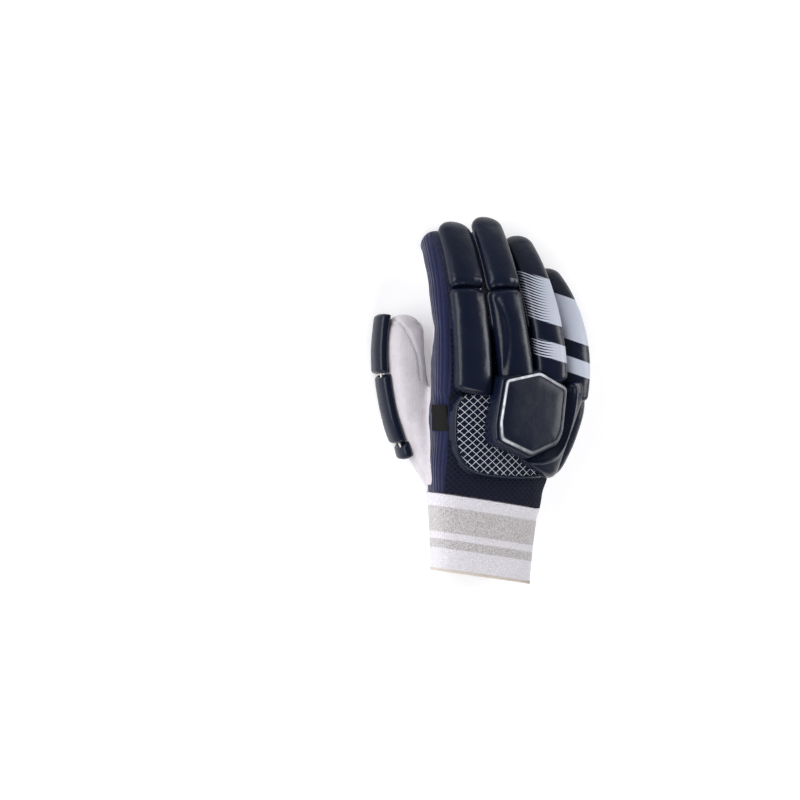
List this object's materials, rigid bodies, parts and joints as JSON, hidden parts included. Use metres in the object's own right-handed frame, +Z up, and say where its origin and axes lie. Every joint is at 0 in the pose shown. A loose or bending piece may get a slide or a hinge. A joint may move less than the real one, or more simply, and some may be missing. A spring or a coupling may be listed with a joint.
{
  "type": "cricket batting glove",
  "caption": "Right-hand cricket batting glove with padded finger rolls, knuckle plate, cotton palm and towelling cuff.",
  "frame": {"origin": "on the table under the middle of the glove, which lies palm down", "axes": "+Y from the cuff to the fingertips, +X from the thumb side to the little-finger side, +Z up through the back of the hand"},
  "size_m": [0.1588, 0.2706, 0.0747],
  "materials": {
    "cotton": "soft white cotton and leather palm knit, matte",
    "rib_knit": "navy ribbed knit, matte",
    "mesh": "dark navy spacer mesh with small staggered holes",
    "padding": "dark navy coated leather over foam, satin to glossy",
    "grid_print": "dark navy cloth with a fine white diagonal grid print",
    "towelling": "white towelling with warm grey bands",
    "strap_face": "smooth white strap with a stitched border",
    "tag_weave": "plain black woven tag"
  },
  "bodies": {
    "root": {"palm": "cotton", "thumb_stall": "cotton", "side_knit": "rib_knit", "back_mesh": "mesh", "index_stall": "rib_knit", "middle_stall": "rib_knit", "ring_stall": "rib_knit", "little_stall": "rib_knit", "index_roll_base": "padding", "index_roll_tip": "padding", "middle_roll_base": "padding", "middle_roll_tip": "padding", "ring_roll": "padding", "little_roll": "padding", "thumb_guard_base": "padding", "thumb_guard_middle": "padding", "thumb_guard_tip": "padding", "knuckle_block": "padding", "knuckle_plate": "padding", "side_pad": "padding", "grid_panel": "grid_print", "size_tag": "tag_weave", "cuff": "towelling", "wrist_strap": "strap_face"}
  },
  "joints": []
}
